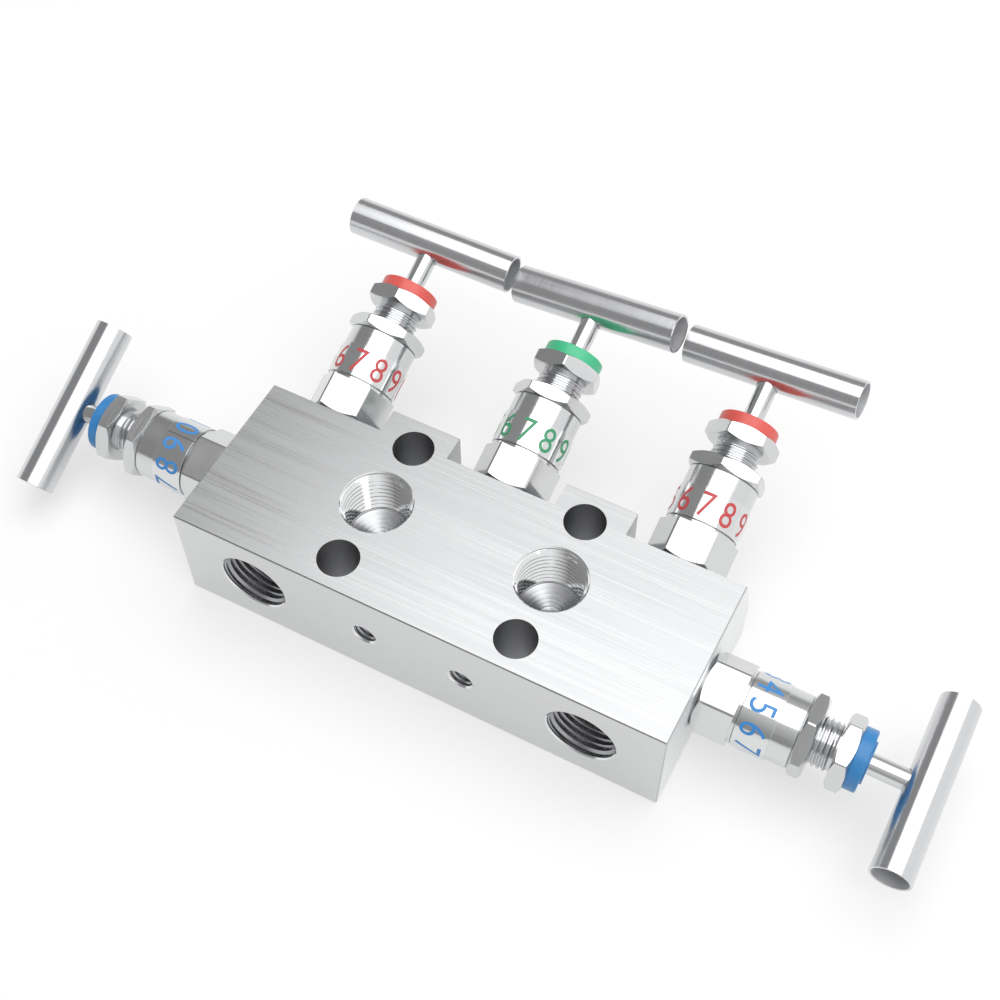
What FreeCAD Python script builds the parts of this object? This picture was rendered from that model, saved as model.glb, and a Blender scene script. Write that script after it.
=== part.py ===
import FreeCAD, Part
import os
import re
import Sketcher

# Instrument valve manifold: a drilled bar with five screwed-in needle valves, two isolating
# valves on its ends, and two drain valves and an equalising valve on its bevelled rear.
# Frame: origin at the middle of the underside, X along the bar, Y to the rear, Z up.
# Lengths are in millimetres and angles in degrees. A valve's own frame has its origin on
# the block where the valve seats, and its Z along the stem, away from the block.

os.makedirs("parts", exist_ok=True)
doc = FreeCAD.newDocument("InstrumentManifold")

# Driving dimensions, each written once
sizes = {
    "blockLength": 149.0,
    "blockDepth": 60.0,
    "blockHeight": 36.0,
    "blockEdge": 0.3,
    # Bolt pattern to the transmitter flange, and the ears that carry its rear pair
    "boltSpacingX": 54.0,
    "boltSpacingY": 41.3,
    "boltHoleRadius": 6.0,
    "earInner": 17.0,
    "earOuter": 38.7,
    "bevelStart": 22.0,
    "bevelAngle": 20.0,
    # Threaded ports: two process ports on top, two vent ports in front
    "portRadius": 10.1,
    "portMouthRadius": 10.5,
    "portDepth": 17.0,
    "drillPointAngle": 59.0,
    "portPilotRadius": 2.0,
    "portPilotDepth": 2.5,
    "ventPortInset": 23.5,
    "frontHoleHeight": 18.5,
    "bracketHoleSpacing": 30.0,
    "bracketHoleRadius": 3.4,
    "bracketMouthRadius": 3.9,
    "bracketHoleDepth": 12.0,
    # Instrument ports in the underside
    "instrumentPortRadius": 6.0,
    "instrumentPortDepth": 5.5,
    "sealRecessRadius": 9.2,
    "sealRecessDepth": 1.6,
    # Drillings between the ports and the valve chambers
    "passageRadius": 2.0,
    "isolatePassageLength": 25.0,
    "rearPassageLength": 15.0,
    "galleryOffsetY": -3.2,
    "galleryEndHeight": 15.3,
    "galleryEndInset": 14.2,
    "ventPassageInset": 21.5,
    "ventPassageFrontY": -16.0,
    "ventPassageFrontHeight": 26.0,
    "ventPassageRearY": 12.2,
    "ventPassageRearHeight": 23.5,
    "crossStartX": 4.0,
    "crossStartY": 12.9,
    "crossStartHeight": 20.4,
    "crossEndInset": 3.0,
    "crossEndY": 2.5,
    # Where the valves stand
    "isolateOffsetY": -3.0,
    "isolateDrop": 16.0,
    "drainInset": 19.5,
    "rearSeatDrop": 12.0,
    # Valve sockets in the block
    "socketDepth": 13.0,
    "chamberRadius": 5.0,
    "chamberDepth": 2.5,
    "gasketThickness": 1.0,
    "gasketInnerRadius": 5.6,
    "gasketOuterRadius": 8.6,
    # Bonnet
    "screwRadius": 9.0,
    "threadClearance": 0.05,
    "bonnetFlats": 20.8,
    "bonnetCornerRadius": 11.65,
    "bonnetHexHeight": 10.9,
    "bonnetChamferAngle": 40.0,
    "bonnetBodyRadius": 10.33,
    "bonnetNeckHeight": 6.2,
    "bodyEdge": 0.4,
    "hexFaceInset": 0.4,
    "hexChamferAngle": 30.0,
    "packingRadius": 6.0,
    "packingFloor": 4.0,
    "packingBoreTop": 15.0,
    "backSeatHeight": 1.5,
    # Marker sleeve
    "sleeveGap": 1.15,
    "sleeveHeight": 9.55,
    "sleeveWall": 0.35,
    "sleeveClearance": 0.02,
    "sleeveSeamAngle": 2.5,
    # Packing and its washers
    "packingHeight": 6.0,
    "washerHeight": 1.0,
    "packingClearance": 0.05,
    "stemClearance": 0.05,
    # Lock nut
    "nutFlats": 21.0,
    "nutHeight": 4.0,
    # Gland screw
    "glandShankRadius": 6.95,
    "glandNoseClearance": 0.15,
    "glandFlats": 19.0,
    "glandThreadShown": 6.1,
    "glandHexHeight": 4.6,
    "glandBossRadius": 7.0,
    "glandBossHeight": 2.4,
    # Dust cap
    "capRadius": 8.75,
    "capHeight": 3.6,
    "capRound": 0.6,
    "capBossRadius": 6.0,
    "capBossHeight": 0.6,
    "capClearance": 0.05,
    # Stem and needle tip, at the closed position
    "stemRadius": 3.0,
    "stemThreadRadius": 4.0,
    "stemFoot": 13.2,
    "stemTravel": 7.0,
    "travelClearance": 0.1,
    "tipRadius": 2.6,
    "tipEndRadius": 0.6,
    "tipConeAngle": 30.0,
    "seatClearance": 0.1,
    "tipNeckRadius": 1.4,
    "tipNeckHeight": 1.0,
    "tipHeadRadius": 2.2,
    "tipHeadHeight": 1.4,
    "tipPlay": 0.06,
    # T-handle
    "handleLength": 53.0,
    "handleRadius": 5.7,
    "handleWall": 0.65,
    "handleStandoff": 4.6,
    "handleHoleClearance": 0.02,
    # How far each valve stands open
    "isolateLeftLift": 0.35,
    "isolateRightLift": 5.05,
    "drainLeftLift": 4.9,
    "drainRightLift": 6.2,
    "equalizeLift": 4.75,
    # How each handle is turned about its stem
    "isolateLeftHandleAngle": 66.4,
    "isolateRightHandleAngle": 93.4,
    "drainLeftHandleAngle": 0.0,
    "drainRightHandleAngle": -7.6,
    "equalizeHandleAngle": -9.6,
    # How each hexagon stopped when it was tightened
    "isolateLeftBonnetAngle": 8.0,
    "isolateRightBonnetAngle": -15.6,
    "drainLeftBonnetAngle": 4.0,
    "drainRightBonnetAngle": 2.4,
    "equalizeBonnetAngle": 4.1,
    "isolateLeftNutAngle": 21.0,
    "isolateRightNutAngle": 13.0,
    "drainLeftNutAngle": 15.0,
    "drainRightNutAngle": 26.5,
    "equalizeNutAngle": 5.0,
    "isolateLeftGlandAngle": 22.5,
    "isolateRightGlandAngle": -13.5,
    "drainLeftGlandAngle": -25.0,
    "drainRightGlandAngle": 10.5,
    "equalizeGlandAngle": -25.0,
    # How far a cutting tool runs past the face that it cuts
    "overrun": 1.0,
}
hexagonSides = 6
fullTurn = 360
halfTurn = 180
quarterTurn = 90

sheet = doc.addObject("Spreadsheet::Sheet", "sizes")
for row, (alias, number) in enumerate(sizes.items(), start=1):
    sheet.set(f"A{row}", alias)
    sheet.set(f"B{row}", str(number))
    sheet.setAlias(f"B{row}", alias)
doc.recompute()

names = re.compile(r"\b(" + "|".join(sizes) + r")\b")
nearZero = 1e-6


# A formula is written with the sheet's own names
def formula(text):
    return names.sub(r"sizes.\1", text)


def value(text):
    return float(sheet.evalExpression(formula(text)))


def bind(thing, target, text):
    thing.setExpression(target, formula(text))


def shift(x="0", y="0", z="0"):
    return f"placement(vector({x}; {y}; {z}); rotationz(0))"


def turnZ(angle):
    return f"placement(vector(0; 0; 0); rotationz({angle}))"


# Frame of a drilling from one point to another, with its Z along the drilling
def aimed(start, end):
    dx, dy, dz = [f"(({b}) - ({a}))" for a, b in zip(start, end)]
    heading = f"atan2({dy}; {dx})"
    lean = f"atan2(sqrt({dx} ^ 2 + {dy} ^ 2); {dz})"
    length = f"sqrt({dx} ^ 2 + {dy} ^ 2 + {dz} ^ 2)"
    x, y, z = start
    return f"placement(vector({x}; {y}; {z}); rotationz({heading}) * rotationy({lean}))", length


# Primitives placed by a formula, standing on the given frame at a height
def cylinder(name, frame, radius, foot, height):
    thing = doc.addObject("Part::Cylinder", name)
    bind(thing, "Radius", radius)
    bind(thing, "Height", height)
    bind(thing, "Placement", f"{frame} * {shift(z=foot)}")
    return thing


def cone(name, frame, footRadius, topRadius, foot, height):
    thing = doc.addObject("Part::Cone", name)
    bind(thing, "Radius1", footRadius)
    bind(thing, "Radius2", topRadius)
    bind(thing, "Height", height)
    bind(thing, "Placement", f"{frame} * {shift(z=foot)}")
    return thing


def cut(name, base, tool):
    thing = doc.addObject("Part::Cut", name)
    thing.Base = base
    thing.Tool = tool
    return thing


def fuse(name, pieces):
    thing = doc.addObject("Part::MultiFuse", name)
    thing.Shapes = pieces
    return thing


def ring(name, frame, innerRadius, outerRadius, foot, height):
    outer = cylinder(name + "_outer", frame, outerRadius, foot, height)
    inner = cylinder(name + "_bore", frame, innerRadius, f"{foot} - overrun", f"{height} + 2 * overrun")
    return cut(name, outer, inner)


# Sketches on a body's own planes
def planeSketch(body, name, role):
    sketch = body.newObject("Sketcher::SketchObject", name)
    plane = [item for item in body.Origin.OriginFeatures if item.Role == role][0]
    sketch.AttachmentSupport = [(plane, "")]
    sketch.MapMode = "FlatFace"
    return sketch


def pinCorner(sketch, line, kind, text):
    size = value(text)
    if abs(size) < nearZero:
        axis = -2 if kind == "DistanceX" else -1
        sketch.addConstraint(Sketcher.Constraint("PointOnObject", line, 1, axis))
    elif size > 0:
        number = sketch.addConstraint(Sketcher.Constraint(kind, -1, 1, line, 1, size))
        bind(sketch, f"Constraints[{number}]", text)
    else:
        number = sketch.addConstraint(Sketcher.Constraint(kind, line, 1, -1, 1, -size))
        bind(sketch, f"Constraints[{number}]", f"-({text})")


# A closed outline of straight edges, each corner held by two formulas
def closedOutline(sketch, corners):
    points = [FreeCAD.Vector(value(x), value(y), 0) for x, y in corners]
    first = sketch.GeometryCount
    following = points[1:] + points[:1]
    for start, end in zip(points, following):
        sketch.addGeometry(Part.LineSegment(start, end))
    count = len(points)
    for index in range(count):
        line = first + index
        after = first + (index + 1) % count
        sketch.addConstraint(Sketcher.Constraint("Coincident", line, 2, after, 1))
    for index, (x, y) in enumerate(corners):
        pinCorner(sketch, first + index, "DistanceX", x)
        pinCorner(sketch, first + index, "DistanceY", y)


# A piece turned about its Z axis from a closed outline of (radius, height)
def turned(name, frame, outline, sweep=f"{fullTurn}"):
    body = doc.addObject("PartDesign::Body", name)
    sketch = planeSketch(body, name + "_outline", "XZ_Plane")
    closedOutline(sketch, outline)
    turning = body.newObject("PartDesign::Revolution", name + "_turning")
    turning.Profile = sketch
    turning.ReferenceAxis = (sketch, ["V_Axis"])
    bind(turning, "Angle", sweep)
    bind(body, "Placement", frame)
    return body


# Six flats milled on a turned collar
def millHexagon(body, flats, foot, height):
    sketch = planeSketch(body, body.Name + "_flats", "XY_Plane")
    bind(sketch, "AttachmentOffset.Base.z", foot)
    corners = []
    for index in range(hexagonSides):
        corner = fullTurn / hexagonSides * index
        corners.append((f"{flats} / sqrt(3) * cos({corner})", f"{flats} / sqrt(3) * sin({corner})"))
    closedOutline(sketch, corners)
    outer = sketch.addGeometry(Part.Circle(FreeCAD.Vector(), FreeCAD.Vector(0, 0, 1), value(flats)))
    sketch.addConstraint(Sketcher.Constraint("Coincident", outer, 3, -1, 1))
    number = sketch.addConstraint(Sketcher.Constraint("Radius", outer, value(flats)))
    bind(sketch, f"Constraints[{number}]", flats)
    milling = body.newObject("PartDesign::Pocket", body.Name + "_milling")
    milling.Profile = sketch
    milling.Reversed = True
    bind(milling, "Length", height)
    body.Tip = milling


def hexFace(flats):
    return f"({flats} / 2 - hexFaceInset)"


def hexCorner(flats):
    return f"({flats} / sqrt(3))"


def hexChamfer(flats):
    return f"(({hexCorner(flats)} - {hexFace(flats)}) * tan(hexChamferAngle))"


# Heights that follow from the sizes above
seatDepth = "(socketDepth + chamberDepth)"
screwLength = "(socketDepth - gasketThickness)"
packingFoot = "(packingFloor + washerHeight)"
packingTop = f"({packingFoot} + packingHeight)"
glandFoot = f"({packingTop} + washerHeight)"
sleeveFoot = "(bonnetHexHeight + sleeveGap)"
sleeveTop = f"({sleeveFoot} + sleeveHeight)"
bonnetTop = f"({sleeveTop} + bonnetNeckHeight)"
nutTop = f"({bonnetTop} + nutHeight)"
glandHexFoot = f"({nutTop} + glandThreadShown)"
glandHexTop = f"({glandHexFoot} + glandHexHeight)"
capTop = f"({glandHexTop} + capHeight)"
capBossTop = f"({capTop} + capBossHeight)"
handleHeight = f"({capBossTop} + handleStandoff + handleRadius)"
glandBossTop = f"({glandHexTop} + glandBossHeight)"
stemShoulder = "(backSeatHeight - travelClearance - stemTravel)"
stemEnd = f"({handleHeight} + sqrt((handleRadius - handleWall) ^ 2 - stemRadius ^ 2))"
socketTop = "(-stemFoot + tipNeckHeight + tipHeadHeight)"
stemBore = "(stemRadius + stemClearance)"
sleeveInner = "(bonnetBodyRadius + sleeveClearance)"
bevelFoot = "((blockDepth / 2 - bevelStart) / tan(bevelAngle))"

# Each valve's seat on the block
isolateHeight = "blockHeight - isolateDrop"
rearY = "bevelStart + rearSeatDrop * sin(bevelAngle)"
rearHeight = "blockHeight - rearSeatDrop * cos(bevelAngle)"


def rearFrame(x):
    return f"placement(vector({x}; {rearY}; {rearHeight}); rotationx(bevelAngle - {quarterTurn}))"


def endFrame(x, angle):
    return f"placement(vector({x}; isolateOffsetY; {isolateHeight}); rotationy({angle}))"


def frontFrame(x):
    return f"placement(vector({x}; -blockDepth / 2; frontHoleHeight); rotationx({quarterTurn}))"


# Each valve's frame and the passage that its tip closes
seats = {
    "isolate_left": (endFrame("-blockLength / 2", f"-{quarterTurn}"), "isolatePassageLength"),
    "isolate_right": (endFrame("blockLength / 2", f"{quarterTurn}"), "isolatePassageLength"),
    "drain_left": (rearFrame("-(blockLength / 2 - drainInset)"), "rearPassageLength"),
    "drain_right": (rearFrame("blockLength / 2 - drainInset"), "rearPassageLength"),
    "equalize": (rearFrame("0"), "rearPassageLength"),
}


# The bar that the block is milled from, with its three bevelled valve seats
def blockBlank():
    body = doc.addObject("PartDesign::Body", "block_blank")
    outline = planeSketch(body, "block_outline", "XY_Plane")
    closedOutline(outline, [
        ("-blockLength / 2", "-blockDepth / 2"),
        ("blockLength / 2", "-blockDepth / 2"),
        ("blockLength / 2", "blockDepth / 2"),
        ("-blockLength / 2", "blockDepth / 2"),
    ])
    bar = body.newObject("PartDesign::Pad", "block_bar")
    bar.Profile = outline
    bind(bar, "Length", "blockHeight")
    doc.recompute()
    edges = body.newObject("PartDesign::Chamfer", "block_edges")
    edges.Base = (bar, [f"Edge{index + 1}" for index in range(len(bar.Shape.Edges))])
    bind(edges, "Size", "blockEdge")
    bevels = {
        "equalize": ("-earInner", "2 * earInner"),
        "drain_left": ("-blockLength / 2 - overrun", "blockLength / 2 + overrun - earOuter"),
        "drain_right": ("earOuter", "blockLength / 2 + overrun - earOuter"),
    }
    slope = "tan(bevelAngle)"
    for seat, (start, width) in bevels.items():
        sketch = planeSketch(body, seat + "_bevel_outline", "YZ_Plane")
        bind(sketch, "AttachmentOffset.Base.z", start)
        closedOutline(sketch, [
            (f"bevelStart - overrun * {slope}", "blockHeight + overrun"),
            ("blockDepth / 2 + overrun", f"blockHeight - {bevelFoot} - overrun / {slope}"),
            ("blockDepth / 2 + overrun", "blockHeight + overrun"),
        ])
        bevel = body.newObject("PartDesign::Pocket", seat + "_bevel")
        bevel.Profile = sketch
        bevel.Reversed = True
        bind(bevel, "Length", width)
        body.Tip = bevel
    return body


# A tapped port: a broken mouth, the threaded wall, the drill's point and a pilot mark
def tappedPort(name, frame):
    point = "(portRadius / tan(drillPointAngle))"
    mouth = "(portMouthRadius - portRadius)"
    return [
        cone(name + "_mouth", frame, "portRadius", "portMouthRadius + overrun", f"-{mouth}",
             f"{mouth} + overrun"),
        cylinder(name + "_wall", frame, "portRadius", "-portDepth", "portDepth + overrun"),
        cone(name + "_point", frame, "0", "portRadius", f"-portDepth - {point}", point),
        cylinder(name + "_pilot", frame, "portPilotRadius", f"-portDepth - {point} - portPilotDepth / 2",
                 f"portPilotDepth + {point} / 2"),
    ]


def bracketHole(name, frame):
    mouth = "(bracketMouthRadius - bracketHoleRadius)"
    point = "(bracketHoleRadius / tan(drillPointAngle))"
    return [
        cone(name + "_mouth", frame, "bracketHoleRadius", "bracketMouthRadius + overrun", f"-{mouth}",
             f"{mouth} + overrun"),
        cylinder(name + "_wall", frame, "bracketHoleRadius", "-bracketHoleDepth",
                 "bracketHoleDepth + overrun"),
        cone(name + "_point", frame, "0", "bracketHoleRadius", f"-bracketHoleDepth - {point}", point),
    ]


def instrumentPort(name, frame):
    point = "(instrumentPortRadius / tan(drillPointAngle))"
    return [
        cylinder(name + "_bore", frame, "instrumentPortRadius", "-instrumentPortDepth",
                 "instrumentPortDepth + overrun"),
        cone(name + "_point", frame, "0", "instrumentPortRadius",
             f"-instrumentPortDepth - {point}", point),
        cylinder(name + "_recess", frame, "sealRecessRadius", "-sealRecessDepth",
                 "sealRecessDepth + overrun"),
    ]


# A valve's socket: the tapped wall, the chamber, and the passage that its tip closes
def valveSocket(name, frame, passageLength):
    return [
        cylinder(name + "_socket", frame, "screwRadius + threadClearance", "-socketDepth",
                 "socketDepth + overrun"),
        cylinder(name + "_chamber", frame, "chamberRadius", f"-{seatDepth}", "chamberDepth + overrun"),
        cylinder(name + "_passage", frame, "passageRadius", f"-{seatDepth} - {passageLength}",
                 f"{passageLength} + overrun"),
    ]


def passage(name, start, end):
    frame, length = aimed(start, end)
    return cylinder(name, frame, "passageRadius", "0", length)


def manifoldBlock():
    holes = []
    for side, sign in (("left", "-"), ("right", "")):
        portX = f"{sign}boltSpacingX / 2"
        top = f"placement(vector({portX}; 0; blockHeight); rotationz(0))"
        bottom = f"placement(vector({portX}; 0; 0); rotationx({halfTurn}))"
        front = frontFrame(f"{sign}(blockLength / 2 - ventPortInset)")
        bracket = frontFrame(f"{sign}bracketHoleSpacing / 2")
        holes += tappedPort("process_port_" + side, top)
        holes += tappedPort("vent_port_" + side, front)
        holes += bracketHole("bracket_hole_" + side, bracket)
        holes += instrumentPort("instrument_port_" + side, bottom)
        for row, end in (("front", "-"), ("rear", "")):
            foot = f"placement(vector({portX}; {end}boltSpacingY / 2; 0); rotationz(0))"
            holes.append(cylinder(f"bolt_hole_{side}_{row}", foot, "boltHoleRadius", "-overrun",
                                  "blockHeight + 2 * overrun"))
        portFloor = (portX, "galleryOffsetY", "instrumentPortDepth")
        chamberX = f"{sign}(blockLength / 2 - galleryEndInset)"
        holes.append(passage("gallery_" + side, portFloor, (chamberX, "galleryOffsetY", "galleryEndHeight")))
        ventX = f"{sign}(blockLength / 2 - ventPassageInset)"
        holes.append(passage("vent_passage_" + side, (ventX, "ventPassageFrontY", "ventPassageFrontHeight"),
                             (ventX, "ventPassageRearY", "ventPassageRearHeight")))
    # The equalising valve joins the left instrument port to the right one
    holes.append(passage("equalize_inlet", ("-boltSpacingX / 2", "galleryOffsetY", "instrumentPortDepth"),
                         ("0", "galleryOffsetY", "galleryEndHeight")))
    holes.append(passage("equalize_outlet", ("crossStartX", "crossStartY", "crossStartHeight"),
                         ("boltSpacingX / 2 - crossEndInset", "crossEndY", "instrumentPortDepth - overrun")))
    for name, (frame, passageLength) in seats.items():
        holes += valveSocket(name, frame, passageLength)
    return cut("manifold_block", blockBlank(), fuse("block_holes", holes))


# The bonnet screws into the block and holds the stem's thread, the packing and the gland
def bonnet(name, frame):
    face = hexFace("bonnetFlats")
    chamfer = f"((bonnetCornerRadius - {face}) * tan(bonnetChamferAngle))"
    threadBore = "(stemThreadRadius + threadClearance)"
    glandBore = "(glandShankRadius + threadClearance)"
    body = turned(name + "_bonnet", frame, [
        ("screwRadius", f"-{screwLength}"),
        ("screwRadius", "0"),
        (face, "0"),
        ("bonnetCornerRadius", chamfer),
        ("bonnetCornerRadius", "bonnetHexHeight"),
        ("bonnetBodyRadius", "bonnetHexHeight"),
        ("bonnetBodyRadius", f"{bonnetTop} - bodyEdge"),
        ("bonnetBodyRadius - bodyEdge", bonnetTop),
        (glandBore, bonnetTop),
        (glandBore, "packingBoreTop"),
        ("packingRadius", "packingBoreTop"),
        ("packingRadius", "packingFloor"),
        (stemBore, "packingFloor"),
        (stemBore, "backSeatHeight"),
        (threadBore, "backSeatHeight"),
        (threadBore, f"-{screwLength}"),
    ])
    millHexagon(body, "bonnetFlats", "0", "bonnetHexHeight")
    return body


# A thin band wrapped round the bonnet, with an open seam
def markerSleeve(name, frame):
    return turned(name + "_marker_sleeve", frame, [
        (sleeveInner, sleeveFoot),
        (f"{sleeveInner} + sleeveWall", sleeveFoot),
        (f"{sleeveInner} + sleeveWall", sleeveTop),
        (sleeveInner, sleeveTop),
    ], f"{fullTurn} - sleeveSeamAngle")


def lockNut(name, frame):
    face = hexFace("nutFlats")
    corner = hexCorner("nutFlats")
    chamfer = hexChamfer("nutFlats")
    bore = "(glandShankRadius + threadClearance)"
    body = turned(name + "_lock_nut", frame, [
        (bore, bonnetTop),
        (face, bonnetTop),
        (corner, f"{bonnetTop} + {chamfer}"),
        (corner, f"{nutTop} - {chamfer}"),
        (face, nutTop),
        (bore, nutTop),
    ])
    millHexagon(body, "nutFlats", bonnetTop, "nutHeight")
    return body


# The gland screw presses on the packing; its boss carries the dust cap
def glandScrew(name, frame):
    face = hexFace("glandFlats")
    corner = hexCorner("glandFlats")
    chamfer = hexChamfer("glandFlats")
    nose = "(packingRadius - glandNoseClearance)"
    body = turned(name + "_gland_screw", frame, [
        (stemBore, glandFoot),
        (nose, glandFoot),
        (nose, "packingBoreTop + glandNoseClearance"),
        ("glandShankRadius", "packingBoreTop + glandNoseClearance"),
        ("glandShankRadius", glandHexFoot),
        (face, glandHexFoot),
        (corner, f"{glandHexFoot} + {chamfer}"),
        (corner, f"{glandHexTop} - {chamfer}"),
        (face, glandHexTop),
        ("glandBossRadius", glandHexTop),
        ("glandBossRadius", glandBossTop),
        (stemBore, glandBossTop),
    ])
    millHexagon(body, "glandFlats", glandHexFoot, "glandHexHeight")
    return body


def dustCap(name, frame):
    inside = "(glandBossRadius + capClearance)"
    return turned(name + "_dust_cap", frame, [
        (inside, glandHexTop),
        ("capRadius", glandHexTop),
        ("capRadius", f"{capTop} - capRound"),
        ("capRadius - capRound", capTop),
        ("capBossRadius", capTop),
        ("capBossRadius", capBossTop),
        (stemBore, capBossTop),
        (stemBore, f"{glandBossTop} + capClearance"),
        (inside, f"{glandBossTop} + capClearance"),
    ])


def packing(name, frame):
    outer = "(packingRadius - packingClearance)"
    return turned(name + "_packing", frame, [
        (stemBore, packingFoot),
        (outer, packingFoot),
        (outer, packingTop),
        (stemBore, packingTop),
    ])


def packingWashers(name, frame):
    outer = "packingRadius - packingClearance"
    lower = ring(name + "_lower_washer", frame, stemBore, outer, "packingFloor", "washerHeight")
    upper = ring(name + "_upper_washer", frame, stemBore, outer, packingTop, "washerHeight")
    pair = doc.addObject("Part::Compound", name + "_packing_washers")
    pair.Links = [lower, upper]
    return pair


# The stem's foot is a socket that holds the head of the needle tip, so the tip need not turn
def stem(name, frame):
    lip = "(tipNeckRadius + tipPlay)"
    socket = "(tipHeadRadius + tipPlay)"
    return turned(name + "_stem", frame, [
        (lip, "-stemFoot"),
        ("stemThreadRadius", "-stemFoot"),
        ("stemThreadRadius", stemShoulder),
        ("stemRadius", stemShoulder),
        ("stemRadius", stemEnd),
        ("0", stemEnd),
        ("0", socketTop),
        (socket, socketTop),
        (socket, "-stemFoot + tipNeckHeight"),
        (lip, "-stemFoot + tipNeckHeight"),
    ])


def needleTip(name, frame):
    slope = "tan(tipConeAngle)"
    seat = f"(-{seatDepth} + seatClearance)"
    return turned(name + "_needle_tip", frame, [
        ("0", f"{seat} - (passageRadius - tipEndRadius) / {slope}"),
        ("tipEndRadius", f"{seat} - (passageRadius - tipEndRadius) / {slope}"),
        ("tipRadius", f"{seat} + (tipRadius - passageRadius) / {slope}"),
        ("tipRadius", "-stemFoot - tipPlay"),
        ("tipNeckRadius", "-stemFoot - tipPlay"),
        ("tipNeckRadius", "-stemFoot + tipNeckHeight + tipPlay"),
        ("tipHeadRadius", "-stemFoot + tipNeckHeight + tipPlay"),
        ("tipHeadRadius", f"{socketTop} - tipPlay"),
        ("0", f"{socketTop} - tipPlay"),
    ])


# A thin tube across the stem, which enters it through a hole in its near wall
def tHandle(name, frame):
    across = f"{frame} * placement(vector(0; 0; {handleHeight}); rotationy({quarterTurn}))"
    tube = cylinder(name + "_tube", across, "handleRadius", "-handleLength / 2", "handleLength")
    bore = cylinder(name + "_tube_bore", across, "handleRadius - handleWall",
                    "-handleLength / 2 - overrun", "handleLength + 2 * overrun")
    hole = cylinder(name + "_stem_hole", frame, "stemRadius + handleHoleClearance",
                    f"{handleHeight} - handleRadius - overrun", "handleRadius + overrun")
    return cut(name + "_t_handle", tube, fuse(name + "_handle_holes", [bore, hole]))


def bonnetGaskets():
    rings = []
    for name, (frame, _) in seats.items():
        rings.append(ring(name + "_gasket", frame, "gasketInnerRadius", "gasketOuterRadius",
                          "-socketDepth", "gasketThickness"))
    gaskets = doc.addObject("Part::Compound", "bonnet_gaskets")
    gaskets.Links = rings
    return gaskets


nodes = [manifoldBlock(), bonnetGaskets()]
for name, (frame, _) in seats.items():
    first, last = name.split("_") if "_" in name else (name, "")
    prefix = first + last.capitalize()
    lifted = f"{frame} * {shift(z=prefix + 'Lift')}"
    nodes.append(bonnet(name, f"{frame} * {turnZ(prefix + 'BonnetAngle')}"))
    nodes.append(markerSleeve(name, frame))
    nodes.append(lockNut(name, f"{frame} * {turnZ(prefix + 'NutAngle')}"))
    nodes.append(glandScrew(name, f"{frame} * {turnZ(prefix + 'GlandAngle')}"))
    nodes.append(dustCap(name, frame))
    nodes.append(packing(name, frame))
    nodes.append(packingWashers(name, frame))
    nodes.append(stem(name, lifted))
    nodes.append(needleTip(name, lifted))
    nodes.append(tHandle(name, f"{lifted} * {turnZ(prefix + 'HandleAngle')}"))
for node in nodes:
    node.Label = node.Name

doc.recompute()

for item in doc.Objects:
    if "Invalid" in item.State or "Error" in item.State:
        raise RuntimeError(f"{item.Name} did not build: {item.State}")
    if item.TypeId == "PartDesign::Pocket":
        removed = item.BaseFeature.Shape.Volume - item.Shape.Volume
        if removed < nearZero:
            raise RuntimeError(f"{item.Name} cuts nothing")
for node in nodes:
    if node.Shape.isNull() or not node.Shape.isValid():
        raise RuntimeError(f"{node.Name} is not a valid solid")
for node in nodes:
    node.Shape.exportStep(f"parts/{node.Label}.step")
    print(node.Label, len(node.Shape.Solids), round(node.Shape.Volume, 1))
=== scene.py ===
import math
import bmesh
import bpy
from mathutils import Matrix, Vector


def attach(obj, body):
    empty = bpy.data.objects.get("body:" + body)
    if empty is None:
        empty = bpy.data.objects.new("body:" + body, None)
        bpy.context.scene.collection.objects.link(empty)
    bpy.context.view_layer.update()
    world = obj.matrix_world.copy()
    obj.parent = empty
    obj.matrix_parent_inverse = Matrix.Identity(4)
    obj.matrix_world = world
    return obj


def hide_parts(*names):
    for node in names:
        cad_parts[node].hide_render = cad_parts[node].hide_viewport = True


# Instrument valve manifold, dressed for a product picture.
# Shapes are drawn in millimetres and brought to metres when they are placed.

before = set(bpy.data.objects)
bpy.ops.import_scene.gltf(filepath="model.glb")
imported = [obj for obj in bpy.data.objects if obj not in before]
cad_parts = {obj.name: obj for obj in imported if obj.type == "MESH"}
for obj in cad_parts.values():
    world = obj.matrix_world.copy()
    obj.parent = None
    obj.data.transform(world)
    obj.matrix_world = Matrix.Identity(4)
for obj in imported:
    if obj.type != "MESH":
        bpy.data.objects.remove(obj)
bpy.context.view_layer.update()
print("frame loaded")

millimetre = 0.001
fullTurn = 2 * math.pi
toMetres = Matrix.Scale(millimetre, 4)


# Small helpers

def linearColour(hexCode):
    channels = [int(hexCode[i:i + 2], 16) / 255 for i in (1, 3, 5)]
    linear = [c / 12.92 if c <= 0.04045 else ((c + 0.055) / 1.055) ** 2.4 for c in channels]
    return (*linear, 1.0)


# The node tree of a material or world, with nothing in it
def emptyTree(owner):
    owner.use_nodes = True
    owner.node_tree.nodes.clear()
    return owner.node_tree


def addNode(tree, kind, settings=None, values=None, links=None):
    node = tree.nodes.new(kind)
    for name, setting in (settings or {}).items():
        setattr(node, name, setting)
    for socket, number in (values or {}).items():
        node.inputs[socket].default_value = number
    for socket, source in (links or {}).items():
        tree.links.new(source, node.inputs[socket])
    return node


def newObject(name, data):
    thing = bpy.data.objects.new(name, data)
    bpy.context.scene.collection.objects.link(thing)
    return thing


# The mesh that an object gives with its modifiers, which go with the object
def takeMesh(thing):
    bpy.context.view_layer.update()
    graph = bpy.context.evaluated_depsgraph_get()
    mesh = bpy.data.meshes.new_from_object(thing.evaluated_get(graph), depsgraph=graph)
    bpy.data.objects.remove(thing)
    return mesh


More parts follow.
